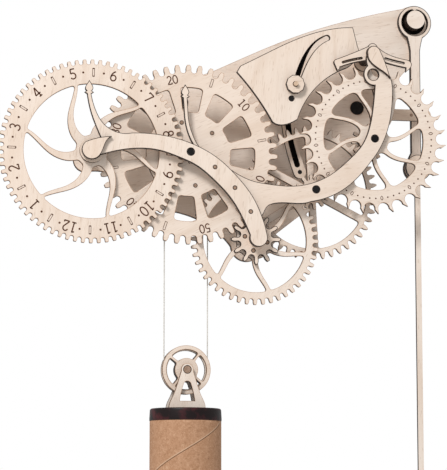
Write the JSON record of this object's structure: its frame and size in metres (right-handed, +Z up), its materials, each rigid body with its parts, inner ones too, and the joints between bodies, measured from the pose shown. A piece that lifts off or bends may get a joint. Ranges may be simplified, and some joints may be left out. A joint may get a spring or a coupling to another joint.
{
  "type": "wooden gear wall clock kit",
  "caption": "Weight-driven wall clock of laser-cut plywood: toothed dial wheels between a rear plate and a curved front frame, with an anchor, a long pendulum and a tube weight.",
  "frame": {"origin": "axis of the left wall socket at the back of the rear plate", "axes": "+X right seen from the front, +Y into the wall, +Z up along the pendulum"},
  "size_m": [0.375, 0.0592, 1.0429],
  "materials": {
    "birch_plywood": "laser-cut, bare, satin",
    "dowel_wood": "turned dowel, bare",
    "blackened_steel": "blackened",
    "socket_rubber": "matt",
    "cotton_cord": "braided",
    "lid_plastic": "near-black, moulded",
    "tube_cardboard": "spiral-wound kraft",
    "slug_iron": "as cast",
    "rating_brass": "turned",
    "bob_steel": "turned"
  },
  "bodies": {
    "frame": {"rear_plate": "birch_plywood", "wall_sockets": "socket_rubber", "front_beam": "birch_plywood", "beam_pins": "dowel_wood", "front_frame_plate": "birch_plywood", "minute_pointer": "birch_plywood", "hour_end_cap": "birch_plywood", "anchor_end_cap": "birch_plywood", "post_collars": "birch_plywood", "wheel_posts": "dowel_wood", "shield_plate": "birch_plywood", "shield_support": "blackened_steel", "clamp_stud": "dowel_wood", "slotted_link": "birch_plywood", "link_pin": "blackened_steel", "pendulum_peg": "birch_plywood", "drive_cord": "cotton_cord", "cord_lead": "cotton_cord", "cord_holder": "birch_plywood"},
    "knob": {"clamp_knob": "birch_plywood"},
    "hour": {"hour_wheel": "birch_plywood"},
    "minute": {"minute_arbor": "blackened_steel", "hour_drive_pinion": "birch_plywood", "minute_wheel": "birch_plywood", "minute_hub_pins": "dowel_wood", "ratchet_pawls": "birch_plywood"},
    "drum": {"ratchet_flange": "birch_plywood", "drum_core": "birch_plywood", "drum_back_flange": "birch_plywood", "cord_windings": "cotton_cord"},
    "third": {"third_wheel": "birch_plywood", "third_pinion": "birch_plywood", "third_pinion_pins": "dowel_wood"},
    "fourth": {"fourth_arbor": "blackened_steel", "fourth_wheel": "birch_plywood", "fourth_pinion": "birch_plywood"},
    "escape": {"escape_arbor": "blackened_steel", "escape_pinion": "birch_plywood", "escape_spacer": "birch_plywood", "escape_wheel": "birch_plywood"},
    "anchor": {"anchor_plate": "birch_plywood", "anchor_sleeve": "birch_plywood", "crutch_arm": "birch_plywood", "crutch_fork_pins": "dowel_wood"},
    "pendulum": {"pendulum_hanger": "birch_plywood", "rod_clamp_disc": "birch_plywood", "rod_clamp_pins": "dowel_wood", "pendulum_rod": "birch_plywood", "bob_core": "bob_steel", "bob_discs": "birch_plywood", "rating_screw": "rating_brass", "rating_nut": "rating_brass"},
    "weight": {"weight_brackets": "birch_plywood", "pulley_axle": "dowel_wood", "bracket_spacer": "birch_plywood", "tube_lids": "lid_plastic", "weight_tube": "tube_cardboard", "weight_slug": "slug_iron"},
    "pulley": {"pulley_flanges": "birch_plywood", "pulley_core": "birch_plywood"}
  },
  "joints": [
    {"name": "minute_spin", "type": "hinge", "parent": "frame", "child": "minute", "pos_m": [0, -0.04, -0.049], "axis": [0, 1, 0], "continuous": true},
    {"name": "hour_spin", "type": "hinge", "parent": "frame", "child": "hour", "pos_m": [-0.07683, -0.04, -0.04954], "axis": [0, 1, 0], "continuous": true},
    {"name": "third_spin", "type": "hinge", "parent": "frame", "child": "third", "pos_m": [0.05398, -0.04, -0.11531], "axis": [0, 1, 0], "continuous": true},
    {"name": "fourth_spin", "type": "hinge", "parent": "frame", "child": "fourth", "pos_m": [0.10089, -0.04, -0.07553], "axis": [0, 1, 0], "continuous": true},
    {"name": "escape_spin", "type": "hinge", "parent": "frame", "child": "escape", "pos_m": [0.14906, -0.04, -0.0332], "axis": [0, 1, 0], "continuous": true},
    {"name": "weight_drop", "type": "slide", "parent": "frame", "child": "weight", "axis": [0, 0, -1], "range_m": [0, 0.6], "deforming": ["drive_cord"]},
    {"name": "drum_spin", "type": "hinge", "parent": "frame", "child": "drum", "pos_m": [0, -0.031, -0.049], "axis": [0, 1, 0], "continuous": true},
    {"name": "pulley_spin", "type": "hinge", "parent": "weight", "child": "pulley", "pos_m": [0, -0.031, -0.218], "axis": [0, 1, 0], "continuous": true},
    {"name": "pendulum_swing", "type": "hinge", "parent": "frame", "child": "pendulum", "pos_m": [0.194, -0.01, 0.0816], "axis": [0, 1, 0], "range_deg": [-1.2, 1.2]},
    {"name": "anchor_rock", "type": "hinge", "parent": "frame", "child": "anchor", "pos_m": [0.1485, -0.03, 0.0365], "axis": [0, 1, 0], "range_deg": [-2.6, 2.6]},
    {"name": "clamp_knob_turn", "type": "hinge", "parent": "frame", "child": "knob", "pos_m": [0.0855, -0.045, 0.0094], "axis": [0, 1, 0], "range_deg": [-180, 180]}
  ],
  "couplings": [
    {"joint": "hour_spin", "follows": "minute_spin", "ratio": -0.083333},
    {"joint": "third_spin", "follows": "minute_spin", "ratio": -4},
    {"joint": "fourth_spin", "follows": "minute_spin", "ratio": 16},
    {"joint": "escape_spin", "follows": "minute_spin", "ratio": -60},
    {"joint": "drum_spin", "follows": "weight_drop", "rad_per_m": 116.28},
    {"joint": "pulley_spin", "follows": "weight_drop", "rad_per_m": 58.139},
    {"joint": "anchor_rock", "follows": "pendulum_swing", "ratio": 2.0368}
  ]
}
